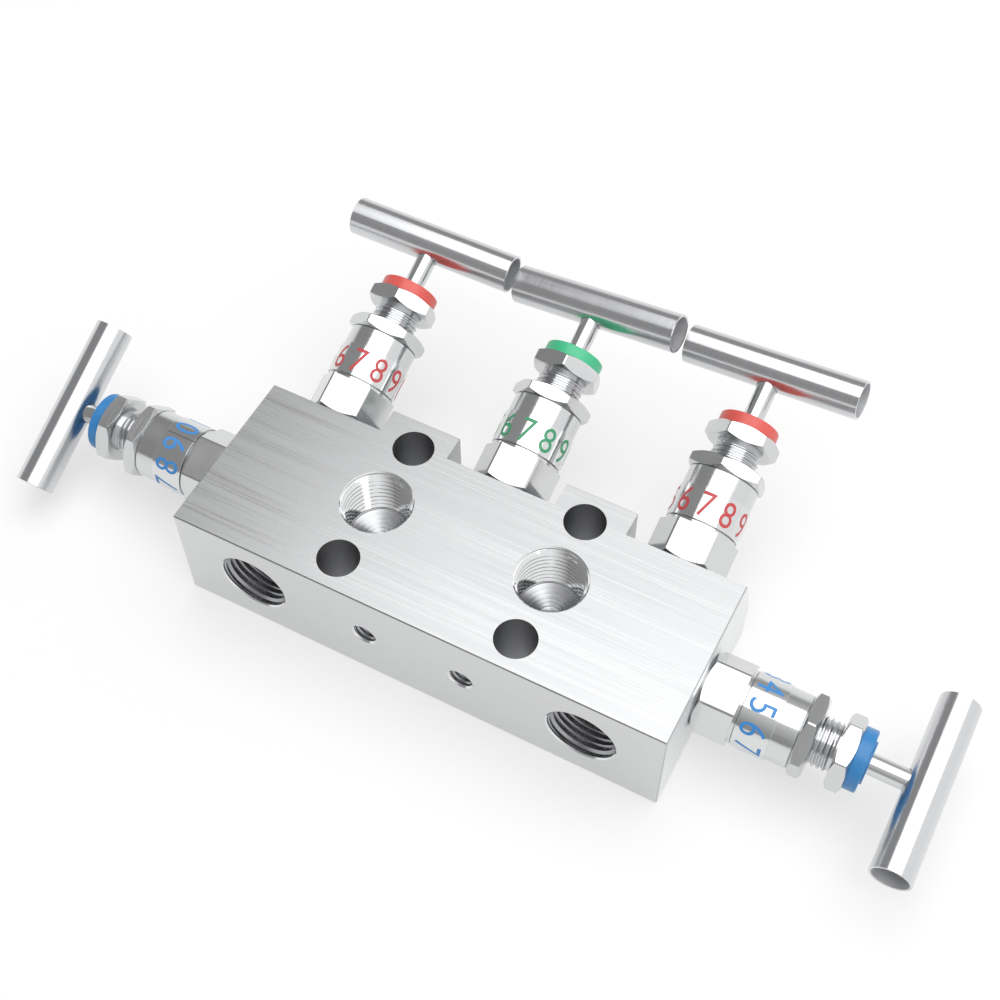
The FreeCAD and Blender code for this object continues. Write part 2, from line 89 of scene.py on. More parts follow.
def smoothFaces(mesh):
    for polygon in mesh.polygons:
        polygon.use_smooth = True


# Camera, as the photograph was taken

camera = {
    "lens": 56.830,
    "nearest": 0.01,
    "place": (0.119363, -0.201595, 0.396382),
    "right": (0.88541729, 0.4647704, -0.00496875),
    "down": (0.38084046, -0.73157077, -0.56547745),
    "forward": (-0.26645218, 0.49879121, -0.82474879),
}
cameraData = bpy.data.cameras.new("camera")
cameraData.lens = camera["lens"]
cameraData.clip_start = camera["nearest"]
cameraObject = newObject("camera", cameraData)
axes = [Vector(camera["right"]), -Vector(camera["down"]), -Vector(camera["forward"])]
cameraMatrix = Matrix([[axis[row] for axis in axes] for row in range(3)]).to_4x4()
cameraMatrix.translation = camera["place"]
cameraObject.matrix_world = cameraMatrix
bpy.context.scene.camera = cameraObject


# Materials

noiseRange = {"From Min": 0.3, "From Max": 0.7}  # nearly all of a noise texture's values lie between these
# A Mix node's sockets share their names, so they are told apart by number
mixShare, mixNumberA, mixNumberB, mixColourA, mixColourB = 0, 2, 3, 6, 7


# A steel surface: a base colour, a grain drawn by stretched noise, and a faint unevenness in patches.
# The sizes in grain and patch are millimetres, on the object's axes or on the piece's own map;
# rings is how far grooves round the axis smear reflections along it.
def steel(name, colour, roughness, spread, grain, depth, along=None, tone=0.08, unevenness=0.03,
          metallic=1.0, patch=(14.0, 14.0, 14.0), detail=4.0, rings=0.0):
    material = bpy.data.materials.new(name)
    tree = emptyTree(material)
    if along == "surface":
        place = addNode(tree, "ShaderNodeUVMap", {"uv_map": "surface"}).outputs["UV"]
        unit = 1.0
    else:
        place = addNode(tree, "ShaderNodeTexCoord").outputs["Object"]
        unit = 1 / millimetre
    stretched = addNode(tree, "ShaderNodeMapping", {}, {"Scale": [unit / size for size in grain]},
                        {"Vector": place})
    lines = addNode(tree, "ShaderNodeTexNoise", {}, {"Scale": 1.0, "Detail": detail, "Roughness": 0.6},
                    {"Vector": stretched.outputs["Vector"]})
    broad = addNode(tree, "ShaderNodeMapping", {}, {"Scale": [unit / size for size in patch]},
                    {"Vector": place})
    cloud = addNode(tree, "ShaderNodeTexNoise", {}, {"Scale": 1.0, "Detail": 3.0},
                    {"Vector": broad.outputs["Vector"]})
    rough = addNode(tree, "ShaderNodeMapRange", {},
                    {**noiseRange, "To Min": roughness - spread, "To Max": roughness + spread},
                    {"Value": lines.outputs["Fac"]})
    uneven = addNode(tree, "ShaderNodeMapRange", {},
                     {**noiseRange, "To Min": -unevenness, "To Max": unevenness},
                     {"Value": cloud.outputs["Fac"]})
    total = addNode(tree, "ShaderNodeMath", {"operation": "ADD"}, {},
                    {0: rough.outputs["Result"], 1: uneven.outputs["Result"]})
    dark = [c * (1 - tone) for c in linearColour(colour)[:3]] + [1.0]
    both = addNode(tree, "ShaderNodeMix", {"data_type": "FLOAT"}, {mixShare: 0.5},
                   {mixNumberA: lines.outputs["Fac"], mixNumberB: cloud.outputs["Fac"]})
    shade = addNode(tree, "ShaderNodeMix", {"data_type": "RGBA"},
                    {mixColourA: dark, mixColourB: linearColour(colour)}, {mixShare: both.outputs[0]})
    bump = addNode(tree, "ShaderNodeBump", {}, {"Strength": 1.0, "Distance": depth * millimetre},
                   {"Height": lines.outputs["Fac"]})
    joined = {"Base Color": shade.outputs[2], "Roughness": total.outputs[0],
              "Normal": bump.outputs["Normal"]}
    if rings:
        grooves = addNode(tree, "ShaderNodeTangent", {"direction_type": "UV_MAP", "uv_map": "surface"})
        joined["Tangent"] = grooves.outputs["Tangent"]
    surface = addNode(tree, "ShaderNodeBsdfPrincipled", {},
                      {"Metallic": metallic, "Anisotropic": rings,
                       "Anisotropic Rotation": 0.25 if rings else 0.0}, joined)
    addNode(tree, "ShaderNodeOutputMaterial", {}, {}, {"Surface": surface.outputs["BSDF"]})
    return material


plasticFacts = {"grain": 0.4, "patch": 4.0, "spread": 0.05}


# A moulded or printed surface: flat colour with a slight waviness and a fine bloom
def plastic(name, colour, roughness, bloom, depth):
    material = bpy.data.materials.new(name)
    tree = emptyTree(material)
    place = addNode(tree, "ShaderNodeTexCoord").outputs["Object"]
    fine = addNode(tree, "ShaderNodeTexNoise", {},
                   {"Scale": 1 / (plasticFacts["grain"] * millimetre), "Detail": 3.0}, {"Vector": place})
    broad = addNode(tree, "ShaderNodeTexNoise", {},
                    {"Scale": 1 / (plasticFacts["patch"] * millimetre), "Detail": 2.0}, {"Vector": place})
    pale = [c + (1 - c) * bloom for c in linearColour(colour)[:3]] + [1.0]
    shade = addNode(tree, "ShaderNodeMix", {"data_type": "RGBA"},
                    {mixColourA: linearColour(colour), mixColourB: pale}, {mixShare: broad.outputs["Fac"]})
    rough = addNode(tree, "ShaderNodeMapRange", {},
                    {**noiseRange, "To Min": roughness - plasticFacts["spread"],
                     "To Max": roughness + plasticFacts["spread"]}, {"Value": fine.outputs["Fac"]})
    bump = addNode(tree, "ShaderNodeBump", {}, {"Strength": 1.0, "Distance": depth * millimetre},
                   {"Height": fine.outputs["Fac"]})
    surface = addNode(tree, "ShaderNodeBsdfPrincipled", {}, {},
                      {"Base Color": shade.outputs[2], "Roughness": rough.outputs["Result"],
                       "Normal": bump.outputs["Normal"]})
    addNode(tree, "ShaderNodeOutputMaterial", {}, {}, {"Surface": surface.outputs["BSDF"]})
    return material


# A steel's numbers are its roughness, how far that varies, the size of its grain and its depth, and a
# plastic's are its roughness, bloom and depth. Real grinding and turning marks are under a tenth of a
# millimetre wide, too fine to show on the whole manifold, so they are drawn two to five times as coarse.
finishes = {
    # 316 stainless bar, belt ground along its length: soft streaks and a broad sheen
    "ground": steel("ground stainless steel", "#C4C5C6", 0.32, 0.08, (70.0, 0.5, 0.5), 0.0035, tone=0.28,
                    unevenness=0.05, patch=(130.0, 2.5, 2.5), detail=2.0),
    # the front of the bar: the same belt-ground steel, a little rougher, in a paler colour that is painted
    # light on the front face
    "groundPaintedLight": steel("ground stainless steel with painted light", "#DEDFE0", 0.34, 0.05, (70.0, 0.5, 0.5), 0.003,
                        tone=0.20, unevenness=0.05, patch=(130.0, 3.0, 3.0), detail=2.0),
    # the same steel inside a drilled hole: dull, with rings left by the drill, and a darker colour that is
    # painted shade
    "drilled": steel("drilled stainless steel with painted shade", "#B9BABC", 0.38, 0.08, (5.0, 5.0, 0.35), 0.02, tone=0.3),
    # the mouths of the ports and holes, countersunk: bright edges that catch the light
    "tapped": steel("countersunk stainless steel", "#E6E7E8", 0.14, 0.04, (3.0, 3.0, 0.4), 0.003, tone=0.06),
    # turned on a lathe: bright, with fine rings round the axis
    "turned": steel("turned stainless steel", "#D8D9DA", 0.15, 0.04, (30.0, 0.22, 1.0), 0.0022, "surface"),
    # milled flats: satin, with faint cutter marks
    "milled": steel("milled stainless steel", "#D4D5D6", 0.20, 0.05, (16.0, 0.35, 1.0), 0.004, "surface"),
    # rolled sheet band, bright and smooth
    "band": steel("bright rolled steel band", "#DCDDDE", 0.10, 0.03, (18.0, 0.5, 1.0), 0.001, "surface",
                  tone=0.04),
    # tube ground on its outside: fine rings, which keep the long stripes and smear reflections along it
    "tube": steel("centreless ground steel tube", "#DBDCDE", 0.22, 0.04, (34.0, 0.3, 1.0), 0.002, "surface",
                  tone=0.12, patch=(3.0, 60.0, 14.0), rings=0.8),
    # inside of the tube: dull mill scale, which scatters light
    "tubeBore": steel("unpolished tube bore", "#D4D5D7", 0.48, 0.08, (1.2, 12.0, 1.0), 0.006, "surface",
                      tone=0.2, metallic=0.4),
    # drawn bar, polished: nearly a mirror
    "rod": steel("polished steel rod", "#D6D7D8", 0.11, 0.03, (24.0, 0.3, 1.0), 0.001, "surface", tone=0.05),
    # thread cut by a die: bright crests, dark roots
    "thread": steel("cut steel thread", "#CDCED0", 0.17, 0.04, (2.0, 2.0, 2.0), 0.002, tone=0.08),
    # thread cut by a tap in an open port: fresh and bright, so that each turn glints
    "portThread": steel("tapped port thread", "#E4E5E6", 0.09, 0.03, (6.0, 6.0, 0.3), 0.002, tone=0.05),
    # thread deep in a side port: a darker colour that is painted shade, with dim crests
    "shadedThread": steel("tapped thread with painted shade", "#ACADB0", 0.26, 0.05, (2.0, 2.0, 2.0), 0.002, tone=0.15),
    # the cone that the drill leaves: fine turned rings, which scatter the light round it
    "drillPoint": steel("drill point", "#B2B3B5", 0.25, 0.05, (30.0, 0.3, 1.0), 0.004, "surface", tone=0.2),
    # milled ends of the bar: satin, with faint swirls of the cutter, in a paler colour that is painted light
    # on the end faces
    "milledEndPaintedLight": steel("milled bar end with painted light", "#EEEFF0", 0.42, 0.05, (6.0, 0.9, 30.0), 0.008, tone=0.08),
    # moulded polypropylene caps: even colour, soft shine
    "blue": plastic("blue moulded polypropylene", "#1F74B0", 0.33, 0.03, 0.004),
    "red": plastic("red moulded polypropylene", "#CB4E45", 0.33, 0.03, 0.004),
    "green": plastic("green moulded polypropylene", "#36B07E", 0.33, 0.03, 0.004),
    # screen-printed ink: flat, a little rough
    "blueInk": plastic("blue printed ink", "#2E7DC0", 0.42, 0.02, 0.002),
    "redInk": plastic("red printed ink", "#B4383B", 0.42, 0.02, 0.002),
    "greenInk": plastic("green printed ink", "#2F8A60", 0.42, 0.02, 0.002),
    # pressed and sintered packing and gaskets: waxy and off-white
    "fluoropolymer": plastic("sintered fluoropolymer", "#ECEBE6", 0.5, 0.02, 0.004),
}
print("materials made")


# Turning and milling

# A closed mesh with its own map called surface: its double points are merged if weld says how near
# they lie, and its faces are turned outwards
def mappedMesh(name, vertices, faces, maps, weld=0.0):
    mesh = bpy.data.meshes.new(name)
    mesh.from_pydata(vertices, [], faces)
    layer = mesh.uv_layers.new(name="surface")
    for loop, place in zip(layer.data, maps):
        loop.uv = place
    shape = bmesh.new()
    shape.from_mesh(mesh)
    if weld:
        bmesh.ops.remove_doubles(shape, verts=shape.verts, dist=weld)
    bmesh.ops.recalc_face_normals(shape, faces=shape.faces)
    shape.to_mesh(mesh)
    shape.free()
    return mesh


# Radius of a hexagon with turned corners, at an angle from its first corner
def hexagonRadius(hexagon, angle):
    sixth = fullTurn / 6
    fromFlat = (angle % sixth) - sixth / 2
    return min(hexagon["flats"] / 2 / math.cos(fromFlat), hexagon["corner"])


# Angles of a lathe mesh's columns: even, or with extra ones where a hexagon's corners begin and end
def columnAngles(columns, hexagon=None):
    if not hexagon:
        return [fullTurn * i / columns for i in range(columns)]
    sixth = fullTurn / 6
    cornerHalf = sixth / 2 - math.acos(min(hexagon["flats"] / 2 / hexagon["corner"], 1.0))
    angles = []
    for k in range(6):
        angles += [k * sixth - cornerHalf, k * sixth, k * sixth + cornerHalf]
        steps = columns // 6
        start, end = k * sixth + cornerHalf, (k + 1) * sixth - cornerHalf
        angles += [start + (end - start) * i / steps for i in range(1, steps)]
    return angles


# A row is (radius, height); or with a hexagon, ("wall", height) for its own outline and
# ("chamfer", height, side, inner radius, slope) for its edge against a turned chamfer
def rowPoint(row, angle, hexagon):
    if row[0] == "wall":
        return hexagonRadius(hexagon, angle), row[1]
    if row[0] == "chamfer":
        _, height, side, inner, slope = row
        radius = hexagonRadius(hexagon, angle)
        return radius, height + side * (radius - inner) * slope
    return row


def chamferRow(facts, height, side):
    return ("chamfer", height, side, facts["face"], facts["slope"])


unwrapRadius = 10  # near the radius of most turned pieces, so that their map is in millimetres


# A closed profile turned round Z, mapped round the piece and along the profile
def latheMesh(name, rows, columns, hexagon=None):
    angles = columnAngles(columns, hexagon)
    vertices, travelled = [], []
    for angle in angles:
        points = [rowPoint(row, angle, hexagon) for row in rows]
        run = [0.0]
        for (r0, z0), (r1, z1) in zip(points, points[1:] + points[:1]):
            run.append(run[-1] + math.hypot(r1 - r0, z1 - z0))
        travelled.append(run)
        vertices += [(r * math.cos(angle), r * math.sin(angle), z) for r, z in points]
    rowCount, columnCount = len(rows), len(angles)
    faces, maps = [], []
    for c in range(columnCount):
        after = (c + 1) % columnCount
        here, there = c * rowCount, after * rowCount
        u0 = angles[c] * unwrapRadius
        u1 = (angles[after] + (fullTurn if after == 0 else 0)) * unwrapRadius
        for r in range(rowCount):
            below = (r + 1) % rowCount
            faces.append((here + r, there + r, there + below, here + below))
            maps += [(u0, travelled[c][r]), (u1, travelled[after][r]),
                     (u1, travelled[after][r + 1]), (u0, travelled[c][r + 1])]
    return mappedMesh(name, vertices, faces, maps, weld=0.0005)


# Small rounded edges, and shading that keeps the flats flat
def breakEdges(mesh, width, angle=18):
    thing = newObject(mesh.name, mesh)
    smoothFaces(mesh)
    if width:
        bevel = thing.modifiers.new("edges", "BEVEL")
        bevel.width = width
        bevel.segments = 2
        bevel.limit_method = "ANGLE"
        bevel.angle_limit = math.radians(angle)
        bevel.miter_outer = "MITER_ARC"
        bevel.use_clamp_overlap = True
    weigh = thing.modifiers.new("shading", "WEIGHTED_NORMAL")
    weigh.keep_sharp = True
    weigh.weight = 50
    return takeMesh(thing)


# One finished piece, put in its place and tied to what it stands for
def addPiece(name, mesh, matrix, body, materials, replaced=None):
    placed = mesh.copy()
    placed.name = name
    placed.transform(matrix)
    # clearing sets every face back to the first finish, so it is left out where there is none to clear
    if placed.materials:
        placed.materials.clear()
    for finish in materials:
        placed.materials.append(finishes[finish])
    piece = newObject(name, placed)
    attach(piece, body)
    if replaced:
        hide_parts(replaced)


# Where the valves stand

# Three of them stand on the rear face: lean is its angle from upright, in degrees, and way is how far
# they stand down it from its upper edge
rearFacts = {"edgeY": 22, "edgeZ": 36, "lean": 20, "way": 12}
tilt = math.radians(rearFacts["lean"])
rearY = rearFacts["edgeY"] + rearFacts["way"] * math.sin(tilt)
rearZ = rearFacts["edgeZ"] - rearFacts["way"] * math.cos(tilt)
rearAxes = ((1, 0, 0), (0, math.sin(tilt), -math.cos(tilt)), (0, math.cos(tilt), math.sin(tilt)))
valves = {
    "isolate_left": {"origin": (-74.5, -3, 20), "axes": ((0, 0, 1), (0, 1, 0), (-1, 0, 0)), "colour": "blue",
                     "bonnetTurn": 8.0, "nutTurn": 21.0, "glandTurn": 22.5, "handleTurn": 66.4, "lift": 0.35},
    "isolate_right": {"origin": (74.5, -3, 20), "axes": ((0, 0, -1), (0, 1, 0), (1, 0, 0)), "colour": "blue",
                      "bonnetTurn": -15.6, "nutTurn": 13.0, "glandTurn": -13.5, "handleTurn": 93.4,
                      "lift": 5.05},
    "drain_left": {"origin": (-55, rearY, rearZ), "axes": rearAxes, "colour": "red",
                   "bonnetTurn": 4.0, "nutTurn": 15.0, "glandTurn": -25.0, "handleTurn": 0.0, "lift": 4.9},
    "drain_right": {"origin": (55, rearY, rearZ), "axes": rearAxes, "colour": "red",
                    "bonnetTurn": 2.4, "nutTurn": 26.5, "glandTurn": 10.5, "handleTurn": -7.6, "lift": 6.2},
    "equalize": {"origin": (0, rearY, rearZ), "axes": rearAxes, "colour": "green",
                 "bonnetTurn": 4.1, "nutTurn": 5.0, "glandTurn": -25.0, "handleTurn": -9.6, "lift": 4.75},
}


# From a valve's own millimetres, turned and lifted, to metres in the frame
def valveMatrix(valve, turn=0.0, lift=0.0):
    facts = valves[valve]
    seated = Matrix([[axis[row] for axis in facts["axes"]] for row in range(3)]).to_4x4()
    seated.translation = facts["origin"]
    spin = Matrix.Rotation(math.radians(turn), 4, "Z")
    return toMetres @ (seated @ Matrix.Translation((0, 0, lift)) @ spin)


# Bonnet: threaded shank, hexagon with turned corners, round body with a groove at the band's foot.
# Its bores are, from the top, for the gland's thread, the packing, the stem and the stem's thread.

bonnetFacts = {
    "hexagon": {"flats": 20.8, "corner": 11.8}, "face": 10.15, "slope": math.tan(math.radians(32)),
    "gap": 0.3, "shank": 9.0, "shankFoot": -12.0, "collar": 9.3,
    "hexHeight": 10.9, "body": 10.33, "top": 27.8, "topEdge": 0.4, "edge": 0.14,
    "groove": 9.95, "grooveFoot": 11.75, "grooveTop": 12.05, "lowerRise": 0.1, "upperRise": 0.2,
    "glandBore": 7.0, "glandFloor": 15.0, "packingBore": 6.0, "packingFloor": 4.0,
    "stemBore": 3.05, "threadBore": 4.05, "threadTop": 1.5,
}


def bonnetMesh(b):
    rows = [
        (b["shank"], b["shankFoot"]), (b["shank"], 0.0), (b["collar"], 0.0), (b["collar"], b["gap"]),
        (b["face"], b["gap"]), chamferRow(b, b["gap"], 1),
        ("wall", b["hexHeight"]), (b["body"], b["hexHeight"]),
        (b["body"], b["grooveFoot"]), (b["groove"], b["grooveFoot"] + b["lowerRise"]),
        (b["groove"], b["grooveTop"]), (b["body"], b["grooveTop"] + b["upperRise"]),
        (b["body"], b["top"] - b["topEdge"]), (b["body"] - b["topEdge"], b["top"]),
        (b["glandBore"], b["top"]), (b["glandBore"], b["glandFloor"]),
        (b["packingBore"], b["glandFloor"]), (b["packingBore"], b["packingFloor"]),
        (b["stemBore"], b["packingFloor"]), (b["stemBore"], b["threadTop"]),
        (b["threadBore"], b["threadTop"]), (b["threadBore"], b["shankFoot"]),
    ]
    return breakEdges(latheMesh("bonnet", rows, columns=72, hexagon=b["hexagon"]), b["edge"])


# Marker sleeve: a thin band with an open seam

sleeveFacts = {"inner": 10.35, "outer": 10.70, "foot": 12.05, "top": 21.6, "seam": 2.5, "columns": 144,
               "edge": 0.08}


def sleeveMesh(s):
    sweep = fullTurn - math.radians(s["seam"])
    corners = [(s["inner"], s["foot"]), (s["outer"], s["foot"]),
               (s["outer"], s["top"]), (s["inner"], s["top"])]
    vertices, faces, maps = [], [], []
    for c in range(s["columns"] + 1):
        angle = sweep * c / s["columns"]
        vertices += [(r * math.cos(angle), r * math.sin(angle), z) for r, z in corners]
    for c in range(s["columns"]):
        u0, u1 = [sweep * k / s["columns"] * s["outer"] for k in (c, c + 1)]
        for k in range(4):
            n = (k + 1) % 4
            faces.append((c * 4 + k, c * 4 + 4 + k, c * 4 + 4 + n, c * 4 + n))
            maps += [(u0, corners[k][1]), (u1, corners[k][1]), (u1, corners[n][1]), (u0, corners[n][1])]
    last = s["columns"] * 4
    faces += [(0, 1, 2, 3), (last + 3, last + 2, last + 1, last)]
    maps += [(0, corners[k][1]) for k in (0, 1, 2, 3, 3, 2, 1, 0)]
    return breakEdges(mappedMesh("sleeve", vertices, faces, maps), s["edge"], angle=40)


# Lock nut, gland screw, dust cap and stem

hexSlope = math.tan(math.radians(30))
nutFacts = {"hexagon": {"flats": 21.0, "corner": 12.0}, "face": 10.45, "slope": hexSlope,
            "foot": 27.8, "top": 31.8, "bore": 7.0, "boreEdge": 0.5, "edge": 0.12}
glandFacts = {"hexagon": {"flats": 19.0, "corner": 10.85}, "face": 9.45, "slope": hexSlope,
              "foot": 37.9, "top": 42.5, "core": 6.2, "crest": 6.95, "threadFoot": 31.2, "threadTop": 37.5,
              "pitch": 1.5, "runout": 0.4, "nose": 5.85, "noseFoot": 12.0, "noseTop": 15.15,
              "boss": 7.0, "bossTop": 44.9, "bore": 3.05, "edge": 0.12}
capFacts = {"inside": 7.05, "radius": 8.75, "foot": 42.5, "top": 46.1, "round": 0.6, "roundSteps": 5,
            "boss": 6.0, "bossTop": 46.7, "bore": 3.05, "ceiling": 44.95, "edge": 0.15}
stemFacts = {"radius": 3.0, "threadRadius": 4.0, "foot": -13.2, "shoulder": -5.6, "top": 61.07,
             "lip": 1.46, "socket": 2.26, "lipTop": -12.2, "socketTop": -10.8, "edge": 0.1}


def nutMesh(n):
    rows = [
        (n["bore"], n["foot"]), (n["face"], n["foot"]), chamferRow(n, n["foot"], 1),
        chamferRow(n, n["top"], -1), (n["face"], n["top"]), (n["bore"] + n["boreEdge"], n["top"]),
        (n["bore"], n["top"] - n["boreEdge"]),
    ]
    return breakEdges(latheMesh("lock nut", rows, columns=72, hexagon=n["hexagon"]), n["edge"])


def glandMesh(g):
    rows = [
        (g["bore"], g["noseFoot"]), (g["nose"], g["noseFoot"]), (g["nose"], g["noseTop"]),
        (g["crest"], g["noseTop"]), (g["crest"], g["threadFoot"] - g["runout"]),
        (g["core"], g["threadFoot"]), (g["core"], g["foot"]), (g["face"], g["foot"]),
        chamferRow(g, g["foot"], 1), chamferRow(g, g["top"], -1), (g["face"], g["top"]),
        (g["boss"], g["top"]), (g["boss"], g["bossTop"]), (g["bore"], g["bossTop"]),
    ]
    return breakEdges(latheMesh("gland screw", rows, columns=72, hexagon=g["hexagon"]), g["edge"])


def capMesh(c):
    rows = [(c["inside"], c["foot"]), (c["radius"], c["foot"])]
    for i in range(c["roundSteps"] + 1):
        angle = math.pi / 2 * i / c["roundSteps"]
        rows.append((c["radius"] - c["round"] * (1 - math.cos(angle)),
                     c["top"] - c["round"] * (1 - math.sin(angle))))
    rows += [(c["boss"], c["top"]), (c["boss"], c["bossTop"]), (c["bore"], c["bossTop"]),
             (c["bore"], c["ceiling"]), (c["inside"], c["ceiling"])]
    return breakEdges(latheMesh("dust cap", rows, columns=96), c["edge"], angle=40)


def stemMesh(s):
    rows = [
        (s["lip"], s["foot"]), (s["threadRadius"], s["foot"]), (s["threadRadius"], s["shoulder"]),
        (s["radius"], s["shoulder"]), (s["radius"], s["top"]), (0.0, s["top"]), (0.0, s["socketTop"]),
        (s["socket"], s["socketTop"]), (s["socket"], s["lipTop"]), (s["lip"], s["lipTop"]),
    ]
    return breakEdges(latheMesh("stem", rows, columns=64), s["edge"], angle=40)


# T-handle: a thin tube with a hole for the stem, drilled through one wall

handleFacts = {"length": 53.0, "radius": 5.7, "wall": 0.65, "height": 57.0, "hole": 3.12, "drillStop": 1.0,
               "edge": 0.14, "edgeAngle": 50, "edgeReach": 0.3, "boreReach": 0.1}
roundWall = {"facing": 0.97, "level": 0.05}  # a tube wall's face looks out or in, and hardly up or down


def handleMesh(h):
    half = h["length"] / 2
    inner = h["radius"] - h["wall"]
    rows = [(inner, -half), (h["radius"], -half), (h["radius"], half), (inner, half)]
    tube = newObject("tube", latheMesh("tube", rows, columns=128))
    smoothFaces(tube.data)
    drill = bpy.data.meshes.new("drill")
    shape = bmesh.new()
    sideways = Matrix.Translation((h["radius"], 0, 0)) @ Matrix.Rotation(math.pi / 2, 4, "Y")
    bmesh.ops.create_cone(shape, cap_ends=True, segments=64, radius1=h["hole"], radius2=h["hole"],
                          depth=2 * (h["radius"] - h["drillStop"]), matrix=sideways)
    shape.to_mesh(drill)
    shape.free()
    cutter = newObject("drill", drill)
    cut = tube.modifiers.new("stem hole", "BOOLEAN")
    cut.operation = "DIFFERENCE"
    cut.solver = "EXACT"
    cut.object = cutter
    bevel = tube.modifiers.new("edges", "BEVEL")
    bevel.width = h["edge"]
    bevel.segments = 2
    bevel.limit_method = "ANGLE"
    bevel.angle_limit = math.radians(h["edgeAngle"])
    mesh = takeMesh(tube)
    bpy.data.objects.remove(cutter)
    # the tube's own roundness is given to its walls, so that the polish shows no facets
    normals = [None] * len(mesh.loops)
    for polygon in mesh.polygons:
        for index in polygon.loop_indices:
            point = mesh.vertices[mesh.loops[index].vertex_index].co
            radial = Vector((point.x, point.y, 0)).normalized()
            normal = polygon.normal
            if abs(normal.dot(radial)) > roundWall["facing"] and abs(normal.z) < roundWall["level"]:
                normal = radial if normal.dot(radial) > 0 else -radial
            normals[index] = normal
    mesh.normals_split_custom_set(normals)
    # the second finish is the bore's
    for polygon in mesh.polygons:
        x, y, z = polygon.center
        if math.hypot(x, y) < inner + h["boreReach"] and abs(z) < half - h["edgeReach"]:
            polygon.material_index = 1
    return mesh


# Threads, by Geometry Nodes: a sheared grid wrapped round the axis and clipped at both ends

threadInputs = {
    "Root radius": 6.2, "Crest radius": 6.95, "Back radius": 6.2, "Pitch": 1.25, "Start": 0.0, "End": 6.0,
    "Fade": 0.4, "Taper": 0.0,
}
# Shares of one pitch: flat at the root and at the crest, and a slope between them on each side
land, flank = 0.155, 0.345
# A pitch has two rows at the root and two at the crest. The shear reaches a pitch beyond each end,
# a last row ends the thread, and three more stand at the back and close the shape.
pitchRows, halfRows, backRows = 4.0, 2.0, 3.0
spareRows = 2 * pitchRows + 1

# Each sum is (its name, the operation, its terms), and a term that is a word is a sum or an input above it
gridSums = [
    ("length", "SUBTRACT", "End", "Start"),
    ("exact pitches", "DIVIDE", "length", "Pitch"),
    ("pitches", "CEIL", "exact pitches"),
    ("thread rows", "MULTIPLY_ADD", "pitches", pitchRows, spareRows),
    ("rows", "ADD", "thread rows", backRows),
    ("columns", "ADD", "Steps", 1.0),
]
threadSums = [
    # where a point is: its share of a turn, its row, and so its height along the thread
    ("around", "ADD", "grid x", 0.5),
    ("fraction", "ADD", "grid y", 0.5),
    ("last row", "SUBTRACT", "rows", 1.0),
    ("exact row", "MULTIPLY", "fraction", "last row"),
    ("row", "ROUND", "exact row"),
    ("thread row", "SUBTRACT", "row", 1.0),
    ("exact turn", "DIVIDE", "thread row", pitchRows),
    ("turn", "FLOOR", "exact turn"),
    ("whole", "MULTIPLY", "turn", pitchRows),
    ("place", "SUBTRACT", "thread row", "whole"),
    ("exact half", "DIVIDE", "place", halfRows),
    ("half", "FLOOR", "exact half"),
    ("halves", "MULTIPLY", "half", halfRows),
    ("in half", "SUBTRACT", "place", "halves"),
    ("half step", "MULTIPLY", "half", 0.5),
    ("offset", "MULTIPLY_ADD", "in half", land, "half step"),
    ("turned back", "SUBTRACT", "turn", 1.0),
    ("on turn", "ADD", "turned back", "offset"),
    ("along", "ADD", "on turn", "around"),
    ("free height", "MULTIPLY_ADD", "along", "Pitch", "Start"),
    ("above start", "MAXIMUM", "free height", "Start"),
    ("clipped", "MINIMUM", "above start", "End"),
    # the first row and the last two stand at the back
    ("at foot", "LESS_THAN", "row", 0.5),
    ("last thread row", "ADD", "thread rows", 0.5),
    ("first back row", "ADD", "thread rows", 1.5),
    ("past", "GREATER_THAN", "row", "last thread row"),
    ("closing", "GREATER_THAN", "row", "first back row"),
    ("both ends", "ADD", "at foot", "past"),
    ("back", "MINIMUM", "both ends", 1.0),
    ("at top", "SUBTRACT", "past", "closing"),
    ("back height", "MULTIPLY_ADD", "at top", "length", "Start"),
    ("back rise", "SUBTRACT", "back height", "clipped"),
    ("height", "MULTIPLY_ADD", "back", "back rise", "clipped"),
    # how proud the thread stands there: 0 at the root, 1 at the crest, fading out at both ends
    ("from start", "SUBTRACT", "clipped", "Start"),
    ("turns up", "DIVIDE", "from start", "Pitch"),
    ("phase", "SUBTRACT", "turns up", "around"),
    ("centred phase", "SUBTRACT", "phase", land / 2),
    ("share", "FRACT", "centred phase"),
    ("signed away", "SUBTRACT", "share", 0.5),
    ("away", "ABSOLUTE", "signed away"),
    ("rise", "SUBTRACT", 0.5 - land / 2, "away"),
    ("slope", "DIVIDE", "rise", flank),
    ("floored", "MAXIMUM", "slope", 0.0),
    ("crest", "MINIMUM", "floored", 1.0),
    ("foot ramp", "DIVIDE", "from start", "Fade"),
    ("to end", "SUBTRACT", "End", "clipped"),
    ("top ramp", "DIVIDE", "to end", "Fade"),
    ("lower ramp", "MINIMUM", "foot ramp", "top ramp"),
    ("ramp", "MINIMUM", "lower ramp", 1.0),
    ("depth", "SUBTRACT", "Crest radius", "Root radius"),
    ("ramped", "MULTIPLY", "crest", "ramp"),
    ("proud", "MULTIPLY_ADD", "ramped", "depth", "Root radius"),
    ("thread radius", "MULTIPLY_ADD", "from start", "Taper", "proud"),
    ("to back", "SUBTRACT", "Back radius", "thread radius"),
    ("radius", "MULTIPLY_ADD", "back", "to back", "thread radius"),
    ("angle", "MULTIPLY", "around", fullTurn),
    ("cosine", "COSINE", "angle"),
    ("sine", "SINE", "angle"),
    ("x", "MULTIPLY", "radius", "cosine"),
    ("y", "MULTIPLY", "radius", "sine"),
]


